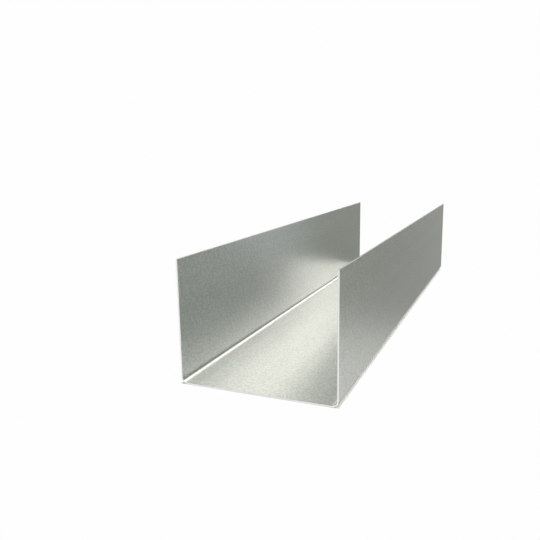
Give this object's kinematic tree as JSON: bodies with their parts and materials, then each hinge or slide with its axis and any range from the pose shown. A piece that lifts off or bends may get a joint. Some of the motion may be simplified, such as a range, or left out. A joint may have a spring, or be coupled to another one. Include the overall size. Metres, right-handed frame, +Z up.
{
  "type": "drywall track",
  "caption": "Short length of plain U-shaped drywall track in galvanised sheet steel, lying on its web with both legs up, to hold the ends of wall studs.",
  "frame": {"origin": "on the floor, under the middle of the web and half-way along the track", "axes": "+Z up, the way the legs stand; +Y along the track; +X across it, towards one leg"},
  "size_m": [0.0658, 0.275, 0.0508],
  "materials": {
    "galvanised_steel": "hot-dip galvanised, small spangle, satin to semi-gloss"
  },
  "bodies": {
    "root": {"track": "galvanised_steel"}
  },
  "joints": []
}
